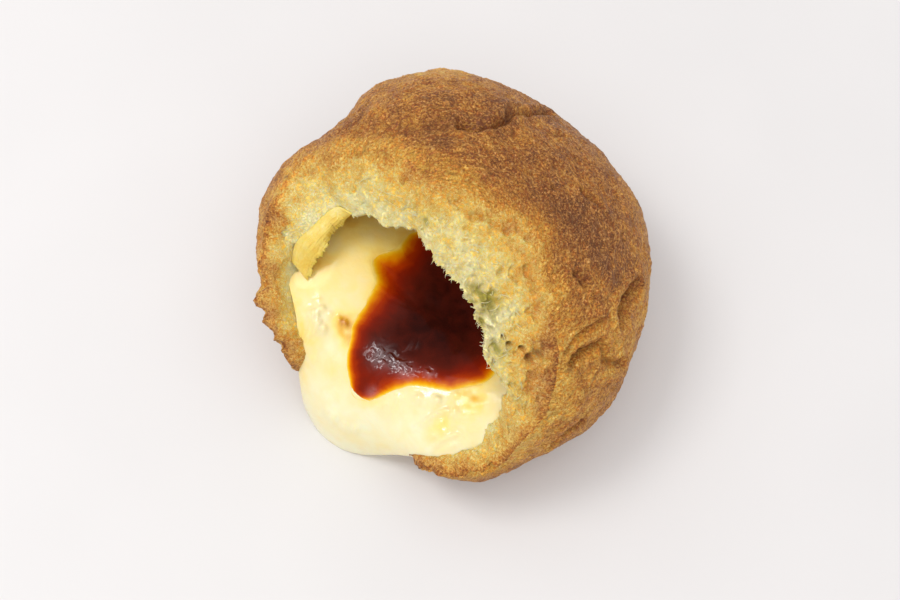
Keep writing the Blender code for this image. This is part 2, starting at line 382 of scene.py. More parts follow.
def bumped(tree, height, strength, distance):
    """The surface's normal, tilted by a height that is this distance in metres from 0 to 1."""
    inputs = {"Height": height, "Strength": strength, "Distance": distance}
    return add(tree, "ShaderNodeBump", inputs).outputs["Normal"]


def finish_named(name):
    """A new material with its tree, its Principled shader and the points' Object coordinates."""
    made = bpy.data.materials.new(name)
    made.use_nodes = True
    tree = made.node_tree
    return made, tree, tree.nodes["Principled BSDF"], add(tree, "ShaderNodeTexCoord").outputs["Object"]


def set_sockets(shader, values, **linked):
    """Sets the shader's sockets by name: values are the same all over the piece, linked ones vary over it."""
    for socket, value in values.items():
        shader.inputs[socket].default_value = value
    for socket, output in linked.items():
        shader.id_data.links.new(output, shader.inputs[socket.replace("_", " ")])


print("cream, as light:", [round(part, 2) for part in linear("#f3ebba")])


# %% [markdown]
# ## Baked choux
# Choux is flour, butter and eggs, piped and baked until its skin dries and browns. Its crust is fibrous: the
# skin stretched as it rose and cracked into fine streaks, paler on the crests, partly as drier dough and partly
# as painted highlight, and browner between them. Inside, where it is torn, it is a moist, pale yellow web of
# bubbles that lets light in. One material serves both, because one turns into the other: the points say how
# toasted and how open the dough is.

# %% The choux material
FIBRE, CURL, SPECK = 1.15, 1.2, 0.5  # mm: a streak of crust, a curl of torn crumb, the finest grain

choux, tree, shader, place = finish_named("baked_choux_pastry")
toast = stored(tree, "toast")
shade_and_freckles = stored(tree, "shade_and_freckles")
open_crumb = stored(tree, "open")
olive_shade = stored(tree, "olive_shade")
flow = stored(tree, "flow", "Vector")

fibre = grain_of(tree, flow, FIBRE, 3.0, 0.65, 1.2)
curl = grain_of(tree, place, CURL * MM, 3.0, 0.6, 2.0)
speck = grain_of(tree, place, SPECK * MM, 2.0, 0.7)
grain = add(tree, "ShaderNodeMix", {0: open_crumb, 2: fibre, 3: curl}).outputs[0]
# A fibre lies wherever the grain passes its middle value: the nearer to it, the higher and the paler, partly as
# drier dough and partly as a painted highlight on the crest.
off_middle = arithmetic(tree, "SUBTRACT", grain, 0.5)
off_middle = arithmetic(tree, "ABSOLUTE", off_middle)
thread = spread(tree, off_middle, 0.0, 0.07, 1.0, 0.0)
crest_lightening = arithmetic(tree, "MULTIPLY", thread, 0.27)
fine = spread(tree, speck, 0.32, 0.68, -0.12, 0.27)
crusty = spread(tree, open_crumb, 0.0, 1.0, 1.0, 0.4)
fine = arithmetic(tree, "MULTIPLY", fine, crusty)
browned = arithmetic(tree, "SUBTRACT", toast, crest_lightening)
browned = arithmetic(tree, "ADD", browned, fine)
dough = coloured(
    tree, browned,
    (0.0, "#fdf0b8"), (0.14, "#f9e38c"), (0.28, "#f1cd60"), (0.42, "#e5ac38"), (0.56, "#d18b26"),
    (0.7, "#b26c1a"), (0.84, "#8f4e10"), (1.0, "#643208"),
)
# Crests and fine flecks also get a painted highlight and sheen: oat-tan on the crust, cream on the crumb.
fleck_glint = spread(tree, speck, 0.42, 0.3, 0.0, 0.6)
fleck_glint = arithmetic(tree, "MULTIPLY", fleck_glint, crusty)
crest_sheen = arithmetic(tree, "MULTIPLY", thread, 0.22)
painted_highlight = arithmetic(tree, "ADD", crest_sheen, fleck_glint, use_clamp=True)
highlight_colour = blended(tree, open_crumb, linear("#dcae74"), linear("#fdf0c2"))
dough = blended(tree, painted_highlight, dough, highlight_colour)
# Painted shade: the thin skin beside the lip and the bubble bowls near it turn dark olive.
dough = blended(tree, olive_shade, dough, linear("#9a8f22"))
# Painted shade darkens creases, slits and pits; scattered freckles of darker browning share this mix.
dough = blended(tree, shade_and_freckles, dough, linear("#6e3508"))

height = add(tree, "ShaderNodeMix", {0: 0.45, 2: thread, 3: speck}).outputs[0]
bump = bumped(tree, height, 1.0, 0.34 * MM)
glow = spread(tree, open_crumb, 0.0, 1.0, 0.03, 0.4)
set_sockets(shader, {
    "Roughness": 0.45, "IOR": 1.36, "Sheen Weight": 0.08, "Sheen Roughness": 0.5, "Sheen Tint": linear("#e9cda2"),
    "Subsurface Radius": (1.0, 0.65, 0.25), "Subsurface Scale": 0.9 * MM,
}, Base_Color=dough, Normal=bump, Subsurface_Weight=glow)
print("baked choux:", len(tree.nodes), "nodes")

# %% [markdown]
# ## The bun's inner skin
# The dough that lined the hollow set against steam, not air, so it is smooth, damp and deep yellow, and so
# thin that light comes through it. It needs far less bump than the crumb, and more light under its surface.

# %% The inner skin's material
STREAK = 1.1  # mm between the skin's faint stretch lines

skin_dough, tree, shader, place = finish_named("steamed_choux_skin")
toast = stored(tree, "toast")
streaks = grain_of(tree, place, STREAK * MM, 3.0, 0.6, 1.0)
drift = spread(tree, streaks, 0.3, 0.7, -0.12, 0.12)
tint = arithmetic(tree, "ADD", toast, drift)
yellow = coloured(
    tree, tint,
    (0.0, "#eedd9c"), (0.35, "#e8c962"), (0.65, "#dcb43e"), (1.0, "#c79a2c"),
)
bump = bumped(tree, streaks, 0.5, 0.2 * MM)
set_sockets(shader, {
    "Roughness": 0.45, "IOR": 1.4,
    "Subsurface Weight": 0.5, "Subsurface Radius": (1.0, 0.7, 0.2), "Subsurface Scale": 1.0 * MM,
}, Base_Color=yellow, Normal=bump)
print("inner skin:", len(tree.nodes), "nodes")

# %% [markdown]
# ## Custard
# Pastry cream is egg yolk, milk and starch: smooth, pale yellow, glossy where it is wet. Light goes a few
# millimetres into it, so its edges glow. `amber` says where it is darker yellow: towards the back of the hollow,
# partly its own colour and partly painted shade, in painted shade under the hanging skin's edge, and where the
# caramel has stained it. `wet` says where whey lies on it as a thin clear coat.

# %% The custard material
custard_cream, tree, shader, place = finish_named("custard_pastry_cream")
amber = stored(tree, "amber")
cloud = grain_of(tree, place, 5.0 * MM, 4.0, 0.6, 1.0)
drift = spread(tree, cloud, 0.3, 0.7, -0.05, 0.05)
tint = arithmetic(tree, "ADD", amber, drift)
cream = coloured(
    tree, tint,
    (0.0, "#eee9bf"), (0.22, "#f0dfa0"), (0.48, "#f9da78"), (0.75, "#ecb83c"), (1.0, "#d08c22"),
)
ripple = grain_of(tree, place, 1.6 * MM, 2.0, 0.5, 0.6)
bump = bumped(tree, ripple, 0.25, 0.25 * MM)
set_sockets(shader, {
    "Roughness": 0.4, "IOR": 1.3, "Coat Roughness": 0.12, "Coat IOR": 1.6,
    "Subsurface Weight": 0.4, "Subsurface Radius": (1.0, 0.7, 0.25), "Subsurface Scale": 1.0 * MM,
}, Base_Color=cream, Normal=bump, Coat_Weight=stored(tree, "wet"))
print("custard:", len(tree.nodes), "nodes")

# %% [markdown]
# ## Caramel
# Burnt sugar syrup is clear and deep brown: thin at its edge it is golden, then orange, red and nearly black
# as it gets deeper. `deep` goes from 0 at the rim to 1, and the ramp turns it into the colour that the layer
# over pale custard shows, which is steadier than tracing light through real glass. `set_skin` says where the
# syrup has set to a puckered skin.

# %% The caramel material
caramel_syrup, tree, shader, place = finish_named("burnt_sugar_syrup")
deep = stored(tree, "deep")
cloud = grain_of(tree, place, 3.5 * MM, 3.0, 0.6, 0.5)
drift = spread(tree, cloud, 0.3, 0.7, -0.05, 0.05)
depth = arithmetic(tree, "ADD", deep, drift)
syrup = coloured(
    tree, depth,
    (0.0, "#f4d468"), (0.1, "#eab41c"), (0.2, "#df8f04"), (0.32, "#c65a02"), (0.45, "#a33003"),
    (0.62, "#7a1c08"), (0.8, "#55190e"), (1.0, "#2e0d08"),
)
set_skin = stored(tree, "set_skin")
pucker = grain_of(tree, place, 1.7 * MM, 2.0, 0.5, 1.0)
puckered = arithmetic(tree, "MULTIPLY", pucker, set_skin)
bump = bumped(tree, puckered, 1.0, 0.35 * MM)
# The set skin, as a coat, mirrors the window; the deep syrup hardly does.
set_sockets(shader, {
    "Roughness": 0.12, "IOR": 1.5, "Specular IOR Level": 0.04, "Coat Roughness": 0.08, "Coat IOR": 1.9,
}, Base_Color=syrup, Normal=bump, Coat_Weight=set_skin, Coat_Normal=bump)
print("caramel:", len(tree.nodes), "nodes")

# %% [markdown]
# # The choux shell
# The bun's skin and its torn wall are one body, made as two grids that share the torn edge: the crust runs
# from the far side of the bun up to the edge, and the crumb runs from the edge across the torn face to the
# lip and back inside. Both are fine, a fifth to a half of a millimetre at the tear, because wrinkles and
# bubbles have to be real there.

# %% Where the crust is creased, and how it is browned
# (depth mm, half-width mm, painted shade in the groove, ((azimuth, elevation), ...)) of each crease, slit or crack
CREASES = (
    (2.6, 0.9, 0.85, ((86, 51), (80, 52), (71, 49), (67, 45), (66, 40), (61, 32), (57, 22))),
    (1.1, 2.6, 0.2, ((125, 12), (130, 38), (117, 49), (97, 52), (86, 51))),
    (3.2, 1.3, 1.0, ((349, 16), (344, 18), (340, 19), (337, 18))),
    (2.2, 1.0, 0.8, ((314, 24), (318, 23), (322, 22), (325, 21))),
    (1.2, 0.6, 0.45, ((313, 28), (319, 29), (325, 28), (331, 26))),
    (1.4, 0.8, 0.5, ((325, 19), (323, 16), (325, 11), (328, 8))),
    (1.5, 0.9, 0.8, ((298, -3), (301, 0), (304, 2), (308, 3))),
    (0.9, 0.6, 0.7, ((62, 17), (57, 15))), (1.2, 0.7, 0.7, ((340, 41), (338, 37))),
    (1.0, 0.7, 0.5, ((20, 38), (14, 34))), (0.9, 0.5, 0.7, ((48, 33), (46, 29))),
    (2.6, 0.8, 0.95, ((277, 13), (278, 9), (279, 6), (280, -3))),
    (0.9, 0.9, 0.4, ((158, 33), (152, 37), (145, 41), (137, 45))),
)
# (azimuth, elevation, depth mm, radius mm) of the holes where a bubble's skin broke
PITS = (
    (296, 37, 1.6, 0.7), (300, 35.5, 1.3, 0.6), (300.5, 32, 1.6, 1.0), (295, 39.5, 1.2, 0.5), (304, 33, 0.5, 1.2),
    (277, 14, 1.0, 0.7), (60, 47, 0.6, 0.8), (35, 44, 0.6, 0.9),
)
# (azimuth, elevation, toasting, half-width in degrees): darker where above 0
TOAST = (
    (5, 45, 0.08, 30), (3, 12, -0.05, 20), (320, 12, -0.04, 22), (290, 5, -0.1, 22), (166, 14, -0.06, 18),
    (97, 22, -0.24, 16), (101, 50, 0.02, 12), (76, 48, 0.08, 8), (60, 60, 0.03, 14), (170, -15, -0.06, 40),
    (192, 8, -0.06, 10), (230, -10, -0.15, 20), (0, -50, -0.05, 40), (74, 40, 0.03, 8),
    (101, 44, 0.05, 12), (166, 16, 0.22, 3.5), (184, 16, 0.22, 3), (358, 33, 0.09, 14), (345, 2, -0.12, 16),
    (20, 12, -0.06, 14), (325, 25, -0.13, 12), (18, 52, 0.04, 14),
)
BUTTON = (74, 41, 1.3, 8)  # a small bump that hangs over the knob's crease
# (direction round the tear, half-width in degrees, mm outwards) of the broken wall's notch and ear
EARS = ((200.5, 1.6, -2.2), (204.5, 2.2, 1.6), (222, 2.5, -0.8), (214, 2, 0.6))
# Directions round the tear, as (start, full, fading, end), where the low wall's edge burst and is chipped, where
# it and the lip have sunk, and where the torn face rolls under and has few bubbles.
BURST, CHIPPED = (188, 200, 318, 330), (188, 196, 310, 322)
SUNK, SUNK_DEGREES = (229, 240, 262, 280), 7.0
ROLLED, CALMED = (180, 192, 215, 230), (184, 192, 214, 226)
AROUND, CRUST_RINGS, FACE_RINGS, LINING_RINGS, HIDDEN_RINGS = 560, 160, 100, 26, 6
around = np.arange(AROUND) * 360 / AROUND
print(len(CREASES), "creases,", len(PITS), "broken bubbles,", len(TOAST), "places that are darker or paler")


# %% The crust's relief and its browning
def flow_of(place):
    """Coordinates in mm whose patterns come out 1.7 times longer round the bun than up and down it."""
    arm = place - CENTRE
    polar = np.arccos(arm[..., 2] / np.linalg.norm(arm, axis=-1))
    return np.stack([arm[..., 0] * 0.6, arm[..., 1] * 0.6, polar * FACE_ARM], -1)


def crust_relief(place, d):
    """The crust's height over the smooth bun in mm, and how much painted shade and freckling darken it.

    Height is the sum of swells of 9 and 4 mm, wrinkles that run round the bun, small pits, the button, and each
    crease: a bell-shaped groove with a low roll beside it. Pits and creases get painted shade, and scattered
    freckles are darker browning.
    """
    flowing = flow_of(place)
    bent = flowing + 0.7 * three(noise, place / 3.0, 21)
    height = uneven(place, (0.5, 9.0, 1), (0.3, 4.2, 2))
    height = height + 0.24 * (ridges(bent / 2.6, 3) - 0.5) + 0.22 * (ridges(bent / 1.2, 4) - 0.5)
    first, _, number = cells(place / 5.0, 5)
    pit = np.clip(1 - first / 0.16, 0, 1) * (number > 0.45)
    height = height - 0.6 * pit
    # Painted shade in each pit.
    shade_and_freckles = 0.55 * pit
    for deep, half_width, groove_shade, path in CREASES:
        line = np.array([under_crust(direction(*corner)) for corner in path])
        away = near_line(place, line) + 0.5 * half_width * noise(place / 1.6, 6)
        groove, roll = bell(away / half_width), bell(away / half_width - 2.3)
        height = height - deep * groove + 0.22 * deep * roll
        # Painted shade along the bottom of the groove.
        shade_and_freckles = np.maximum(shade_and_freckles, groove_shade * groove**1.5)
    freckles = smooth_step(0.42, 0.75, noise(flowing / 1.6, 8)) * smooth_step(-0.2, 0.3, noise(place / 9, 9))
    shade_and_freckles = np.maximum(shade_and_freckles, 0.5 * freckles)
    height = height + BUTTON[2] * lobe(d, *BUTTON[:2], BUTTON[3])
    return height, shade_and_freckles


def pits(place, d):
    """How deep the broken bubbles of PITS lie below the surface in mm, and how much painted shade darkens them
    inside.
    """
    total, pit_shade = 0.0, 0.0
    for azimuth, elevation, deep, radius in PITS:
        away = FACE_ARM * np.linalg.norm(d - direction(azimuth, elevation), axis=-1) + 0.15 * noise(place / 0.9, 7)
        bowl = np.exp(-((away / radius) ** 3))
        total, pit_shade = total + deep * bowl, np.maximum(pit_shade, 0.7 * bowl)
    return total, pit_shade


def burst(place, turn, away):
    """How far the torn edge of the low wall sticks out or is bitten off, in mm: chunky, and gone 3 mm from it."""
    broken = between(turn, *BURST)
    chunk = uneven(place, (0.9, 1.9, 36), (0.45, 0.9, 37))
    for middle, half_width, out in EARS:
        chunk = chunk + out * bell((turn - middle) / half_width)
    return broken * chunk * bell(away / 2.6)


def toasting(place, d, beyond):
    """How browned the dough is, from 0 to 1; beyond is the distance in mm past the torn edge on the crust."""
    level = 0.56 + 0.18 * smooth_step(0, 9, beyond)
    for azimuth, elevation, amount, half_width in TOAST:
        level = level + amount * lobe(d, azimuth, elevation, half_width)
    return level + uneven(place, (0.07, 8.0, 11), (0.13, 3.2, 12))


# %% The torn edge and the lip
def edge_teeth(around):
    """How far the crust's edge is chipped away, in degrees: ragged where the low wall broke, little elsewhere."""
    spot = np.stack([around / 4.0, around * 0, around * 0], -1)
    broken = between(around, *CHIPPED)
    small = 0.9 * noise(spot * 2.7, 32) + 0.9 * np.abs(noise(spot * 1.7, 35))
    return (0.25 + 0.75 * broken) * (1.3 * noise(spot / 1.7, 31) + small)


def lip_teeth(around):
    """How far the torn lip reaches into the hole, in degrees: sharp teeth of two widths."""
    spot = np.stack([around / 6.0, around * 0 + 0.5, around * 0], -1)
    return 1.4 * (ridges(spot, 33) - 0.45) + 0.5 * (ridges(spot * 2.3, 34) - 0.45)


sunk = SUNK_DEGREES * between(around, *SUNK)
edge = stations(around, CRUST_EDGE) + ragged(around) + sunk
lip = stations(around, HOLE_LIP) - ragged(around + 90) + sunk
chips, teeth = edge_teeth(around), lip_teeth(around)
print("torn edge", edge.min().round(1), "to", edge.max().round(1), "degrees from the tear's axis")

# %% The crust
CRUST_BACK, FACE_BACK = (2.5, 5.5), (2.0, 4.8)  # mm under the crust, at the edge and away from it, of the closings

share = np.linspace(1, 0, CRUST_RINGS + 1)[1:, None]  # 0 at the edge, 1 at the far pole
angle = edge + (180 - edge) * (0.62 * share + 0.38 * share**2) + chips * (1 - share) ** 30
d = tear_direction(angle, around)
smooth = under_crust(d)
relief, shade_and_freckles = crust_relief(smooth, d)
sunken, pit_shade = pits(smooth, d)
relief, shade_and_freckles = relief - sunken, np.maximum(shade_and_freckles, pit_shade)
beyond = np.radians(angle - edge) * CRUST_ARM
foot = smooth_step(0.3, 3.0, smooth[..., 2])
crust = smooth + d * (relief * foot + burst(smooth, around, np.abs(beyond)))[..., None]
crust[..., 2] = np.maximum(crust[..., 2], 0.0)
toast_level = toasting(smooth, d, beyond)

# Inside, the piece closes well below the deepest crease, but stays thin where the face rolls under the edge.
roomy = smooth_step(0, 8, edge - lip)
inside_share = np.linspace(0, 1, HIDDEN_RINGS + 1)[:-1, None]
hidden_depth = CRUST_BACK[0] + 1.5 * roomy * (1 - inside_share)
hidden_depth = hidden_depth + (CRUST_BACK[1] - CRUST_BACK[0]) * smooth_step(0.0, 0.12, inside_share)
hidden = under_crust(tear_direction(edge + (180 - edge) * inside_share, around), hidden_depth)

pole_d = tear_direction(np.array(180.0), np.array(0.0))
rings = np.concatenate([crust, hidden])


def with_hidden(values, filler):
    """The values of the visible rings, and a filler for those that close the piece inside."""
    return np.concatenate([values, np.full((len(rings) - len(values),) + values.shape[1:], filler)])


crust_piece = loft("choux_crust", rings, under_crust(pole_d), under_crust(pole_d, CRUST_BACK[1]), {
    "toast": with_hidden(toast_level, 0.5), "shade_and_freckles": with_hidden(shade_and_freckles, 0.0), "open": with_hidden(relief * 0, 0.0),
    "olive_shade": with_hidden(relief * 0, 0.0), "flow": flow_of(rings),
}, choux)
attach(crust_piece, "root")
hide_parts("choux_shell")

# %% [markdown]
# ## The crumb
# Torn choux shows bubbles that were cut open: bowls of one to three millimetres with thin bright rims, in a
# web of curly fibres. They are carved into the grid with the cell pattern. The lip is the thin end of the
# wall, so its edge is torn into teeth. Near the crust the wall is golden, and it pales towards the lip.


# %% The torn face's bubbles
# (size mm, depth mm, height of the rim mm, share of them missing, seed) of each kind of cut bubble
BUBBLES = ((3.6, 1.0, 0.2, 0.5, 46), (1.7, 0.34, 0.14, 0.3, 47), (0.95, 0.16, 0.09, 0.2, 53))


def crumb_relief(place):
    """The torn face's height in mm and how hollow its large bubbles are.

    Height is the sum of lumps of 6 and 2.4 mm, bowls with raised rims round random points, and curly fibres.
    """
    bent = place + 0.8 * three(noise, place / 2.5, 41)
    height = uneven(place, (0.6, 6.0, 44), (0.22, 2.4, 45))
    hollow = None
    for width, deep, rim, least, seed in BUBBLES:
        first, second, number = cells(bent / width, seed)
        bowl = np.clip(1 - (first / 0.55) ** 2, 0, 1) * (number > least)
        height = height - deep * bowl + rim * bell((second - first) / 0.13)
        hollow = bowl if hollow is None else hollow
    return height + 0.2 * (ridges(bent / 1.4, 48) - 0.5), hollow


print("bubbles of", [row[0] for row in BUBBLES], "mm")

# %% The torn face's path and where its colours lie
# (share of the way from the crust's edge to the lip, toasting)
FACE_TOAST = ((0, 0.56), (0.12, 0.46), (0.3, 0.33), (0.5, 0.23), (0.75, 0.16), (1, 0.1))
# (direction round the tear, half-width in degrees, more toasting, share it reaches) of the torn face
FACE_TOAST_PLACES = (
    (172, 24, 0.1, 0.9), (208, 18, 0.3, 0.7), (188, 12, 0.12, 2.0), (232, 12, 0.3, 0.8), (284, 26, 0.26, 0.6),
    (8, 14, 0.16, 0.5), (20, 8, 0.12, 0.75), (318, 30, 0.17, 2.0), (340, 16, 0.2, 2.0), (118, 9, 0.14, 2.0),
    (4, 8, 0.1, 2.0),
)
# (direction round the tear, share, half-widths, strength) of the thin skin beside the lip, dented and painted olive
# as shade
OLIVE_PLACES = (
    (43, 0.8, 10, 0.2, 1.0), (27, 0.86, 6, 0.13, 0.9), (12, 0.8, 6, 0.14, 0.6), (108, 0.6, 4, 0.12, 0.4),
)


def face_path(share, turn, edge, lip):
    """The torn face's angle from the tear's axis and its depth in mm at this share of the way from edge to lip.

    Where the lip lies further out than the edge, the face first rolls inwards by a few degrees, most on the
    left, so that the wall's top comes out round.
    """
    under = np.clip(lip - edge, 0, 6) * (0.35 + 0.3 * between(turn, *ROLLED))
    angle = edge + (lip - edge) * np.where(under > 0, share**2, share) - under * np.sin(np.pi * share)
    depth = LIP_DEPTH * share**FACE_BEND
    return angle, depth


print("the face reaches", LIP_DEPTH, "mm deep, through", len(OLIVE_PLACES), "thin places")

# %% The torn face's colours and relief
share = np.linspace(0, 1, FACE_RINGS + 1)[1:, None]
angle, depth = face_path(share, around, edge, lip)
across = np.hypot(np.radians(angle - edge) * FACE_ARM, depth)
angle = angle + chips * (1 - share) ** 6 - teeth * share**7
d = tear_direction(angle, around)
smooth = under_crust(d, depth)
outer, shade_and_freckles = crust_relief(smooth, d)
inner, hollow = crumb_relief(smooth)
opened = smooth_step(0.0, 4.0, across)
calm = 1 - 0.55 * smooth_step(0.86, 1.0, share)
sunken, pit_shade = pits(smooth, d)
toast_face = np.interp(share, *np.transpose(FACE_TOAST)) + toasting(smooth, d, -1.0) - 0.56
for middle, half_width, more, reach in FACE_TOAST_PLACES:
    off = (around - middle + 180) % 360 - 180
    faded = 1 - smooth_step(reach - 0.25, reach + 0.25, share)
    toast_face = toast_face + more * bell(off / half_width) * faded
# Bubble bowls near the crust get painted shade as extra toasting, and the noise makes the toasting uneven.
toast_face = toast_face + 0.1 * hollow * opened * (1 - share) + 0.1 * noise(smooth / 1.6, 49) * opened
beside_skin = between(around, *CALMED) * smooth_step(0.35, 0.7, share)
inner = inner * (1 - 0.7 * beside_skin)
olive_dent_and_shade = 0.0
for middle, part, half_width, half_share, strength in OLIVE_PLACES:
    off = (around - middle + 180) % 360 - 180
    olive_dent_and_shade = olive_dent_and_shade + strength * bell(off / half_width) * bell((share - part) / half_share)
olive_dent_and_shade = np.clip(olive_dent_and_shade * (1 + 1.3 * noise(smooth / 1.6, 50)), 0, 1)
# Bubble bowls towards the lip take on painted olive shade as well.
bowl_shade_mask = smooth_step(0.3, 0.7, share) * smooth_step(-0.2, 0.3, noise(smooth / 6, 51))
olive_dent_and_shade = np.clip(olive_dent_and_shade + 0.08 * hollow**0.7 * bowl_shade_mask, 0, 0.85)
relief = (outer * (1 - opened) + inner * opened) * calm + burst(smooth, around, across) - sunken
face = smooth + d * (relief - olive_dent_and_shade)[..., None]
print("torn face: relief", relief.min().round(1), "to", relief.max().round(1), "mm")

# %% The crumb, its lip and its lining
back = np.linspace(0, 1, LINING_RINGS + 1)[:-1, None] ** 1.5
lining_angle = lip + (180 - lip) * back - teeth * (1 - back) ** 40
lining_d = tear_direction(lining_angle, around)
lining_depth = LIP_DEPTH + LIP_THICKNESS + (WALL - LIP_DEPTH - LIP_THICKNESS) * smooth_step(0, 0.3, back)
follow = (face[-1] - smooth[-1]) * (1 - smooth_step(0.0, 0.08, back))[..., None]
lining = under_crust(lining_d, lining_depth) + follow
lining = lining + lining_d * (0.25 * noise(lining / 3.0, 52) * smooth_step(0.02, 0.1, back))[..., None]

back = np.linspace(1, 0, HIDDEN_RINGS + 1)[1:, None]
hidden_depth = FACE_BACK[0] + (FACE_BACK[1] - FACE_BACK[0]) * np.maximum(smooth_step(0.0, 0.12, back), roomy)
hidden = under_crust(tear_direction(edge + 5 + (175 - edge) * back, around), hidden_depth)

rings = np.concatenate([hidden, crust[-1:], face, lining])


def from_face(values, at_edge, inside):
    """The face's values, with the edge ring's before them and one number for the hidden rings and the lining."""
    before = np.concatenate([np.full(hidden.shape[:2], inside), at_edge[None]])
    return np.concatenate([before, np.broadcast_to(values, angle.shape), np.full(lining.shape[:2], inside)])


nothing = np.zeros(AROUND)
# On the torn face the crust's painted shade of creases and pits fades out as the crumb opens.
crumb_piece = loft("choux_crumb", rings, under_crust(pole_d, FACE_BACK[1]), under_crust(pole_d, WALL), {
    "toast": from_face(toast_face, toast_level[-1], 0.2),
    "shade_and_freckles": from_face(np.maximum(shade_and_freckles * (1 - opened), pit_shade), nothing, 0.0),
    "open": from_face(opened, nothing, 1.0), "olive_shade": from_face(olive_dent_and_shade, nothing, 0.0), "flow": flow_of(rings),
}, choux)
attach(crumb_piece, "root")
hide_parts("choux_shell")

# %% [markdown]
# ## The inner skin
# Where the bun was pulled open on the left, the smooth skin that lined the hollow hangs from the lip as a thin
# yellow sheet with a torn lower edge. It is a sheet between two lines: the lip, which is its fold, and its own
# jagged edge. The grid goes down its front and up its back, so it is a closed skin half a millimetre thick.

# %% The hanging skin
SKIN_FOLD = (192.0, 153.0)  # directions round the tear at the sheet's two ends
SKIN_LIP_SHARE = (0.93, 1.0)  # how far across the torn face it starts, at its lower end and from its middle
# (x, y, z) in mm of the sheet's jagged edge
SKIN_EDGE = np.array((
    (-32.6, -2.2, 27.6), (-31.0, -0.4, 30.0), (-28.9, 1.1, 33.8), (-27.0, 3.7, 35.6), (-25.6, 6.1, 36.5),
    (-23.8, 7.2, 37.7), (-23.2, 10.8, 37.3),
))
SKIN_ALONG, SKIN_DOWN, SKIN_THICKNESS = 190, 48, 0.4

along = np.linspace(0, 1, SKIN_ALONG)[:, None]
down = np.linspace(0, 1, SKIN_DOWN)[None, :]
fold_turn = SKIN_FOLD[0] + (SKIN_FOLD[1] - SKIN_FOLD[0]) * along
leaves = SKIN_LIP_SHARE[0] + (SKIN_LIP_SHARE[1] - SKIN_LIP_SHARE[0]) * smooth_step(0, 0.45, along)
fold_edge = stations(fold_turn, CRUST_EDGE) + ragged(fold_turn)
fold_lip = stations(fold_turn, HOLE_LIP) - ragged(fold_turn + 90)
fold_angle, fold_depth = face_path(leaves, fold_turn, fold_edge, fold_lip)
fold_d = tear_direction(fold_angle, fold_turn)
fold = under_crust(fold_d, fold_depth - 0.1)
steps = np.linspace(0, 1, len(SKIN_EDGE))
hem = np.stack([np.interp(along[:, 0], steps, SKIN_EDGE[:, axis]) for axis in range(3)], -1)[:, None]
spot = np.stack([along * 11, along * 0, along * 0], -1)
first, _, number = cells(spot + 0.3, 61)
teeth = 0.16 * (number - 0.5) - 0.1 * np.clip(first, 0, 1) + 0.1 * noise(spot * 3.1, 62)
reach = down + teeth * down**5 * np.sin(np.pi * along) ** 0.5
skin = fold + (hem - fold) * reach[..., None]
normal = np.cross(np.gradient(skin, axis=0), np.gradient(skin, axis=1))
normal = normal / np.linalg.norm(normal, axis=-1, keepdims=True)
belly = 1.2 * np.sin(np.pi * np.clip(down, 0, 1)) ** 0.8 * np.sin(np.pi * along) ** 0.5
streak = np.stack(np.broadcast_arrays(along * 5, down * 9.0, 0.0), -1)
crinkle = 0.1 * (ridges(streak, 63) - 0.5) + 0.07 * noise(streak * 2.2, 64) + 0.35 * noise(streak / 3.0, 65)
skin = skin - normal * (belly + crinkle * smooth_step(0.0, 0.2, down))[..., None]
half = 0.5 * SKIN_THICKNESS * (1 - 0.7 * smooth_step(0.8, 1.0, down))
rings = np.concatenate([skin + normal * half[..., None], (skin - normal * half[..., None])[:, ::-1]], 1)
drop = np.concatenate([reach, reach[:, ::-1]], 1)
tone = 0.28 + 0.2 * smooth_step(0.1, 0.8, drop) + 0.2 * noise(rings / 3.0, 66)
skin_piece = loft("inner_skin", rings, rings[0].mean(0), rings[-1].mean(0), {"toast": tone}, skin_dough)
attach(skin_piece, "root")
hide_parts("choux_shell")

# %% [markdown]
# ## Torn threads
# When wet dough is pulled apart its gluten draws out into threads. They stick out from the lip, and some
# lie over the bubbles. Each is a short tapered tube along a bent path. All of them are worked out in one
# array of thread, ring along it and corner round it, then joined into one mesh.

# %% The threads
THREADS, THREAD_RINGS, THREAD_SIDES = 170, 7, 6
draw = np.random.default_rng(20)
turn = np.where(draw.random(THREADS) < 0.62, draw.uniform(-8, 100, THREADS), draw.uniform(100, 158, THREADS))
part = np.where(draw.random(THREADS) < 0.4, 1.0, draw.uniform(0.45, 1.0, THREADS))
row = np.clip((part * (FACE_RINGS - 1)).astype(int), 0, FACE_RINGS - 1)
column = np.round(turn / 360 * AROUND).astype(int) % AROUND
root = face[row, column]
out = d[row, column]
to_lip = face[np.minimum(row + 3, FACE_RINGS - 1), column] - face[np.maximum(row - 3, 0), column]
to_lip = to_lip / np.linalg.norm(to_lip, axis=-1, keepdims=True)
sideways = np.cross(out, to_lip)
at_lip = (part > 0.97)[:, None]
swing = draw.normal(0, 1, (THREADS, 2))
heading = np.where(at_lip, to_lip + 0.55 * swing[:, :1] * sideways, sideways + 0.7 * swing[:, :1] * to_lip)
heading = heading / np.linalg.norm(heading, axis=-1, keepdims=True)
length = np.where(at_lip[:, 0], draw.uniform(0.3, 0.9, THREADS), draw.uniform(1.5, 3.6, THREADS))[:, None, None]
step = np.linspace(0, 1, THREAD_RINGS)[None, :, None]
bend = 0.35 * swing[:, 1:, None] * sideways[:, None] * step**2 - 0.15 * out[:, None] * step**2
rise = np.where(at_lip, 0.0, 0.35)[:, :, None] * np.sin(np.pi * step) + 0.02
path = root[:, None] + length * (heading[:, None] * step + bend) + out[:, None] * rise
radius = draw.uniform(0.07, 0.16, THREADS)[:, None, None] * (1 - 0.75 * step**2)
corner = np.arange(THREAD_SIDES) * 2 * np.pi / THREAD_SIDES
frame_a = np.cross(heading, out)[:, None, None]
frame_b = np.cross(heading[:, None, None], frame_a)
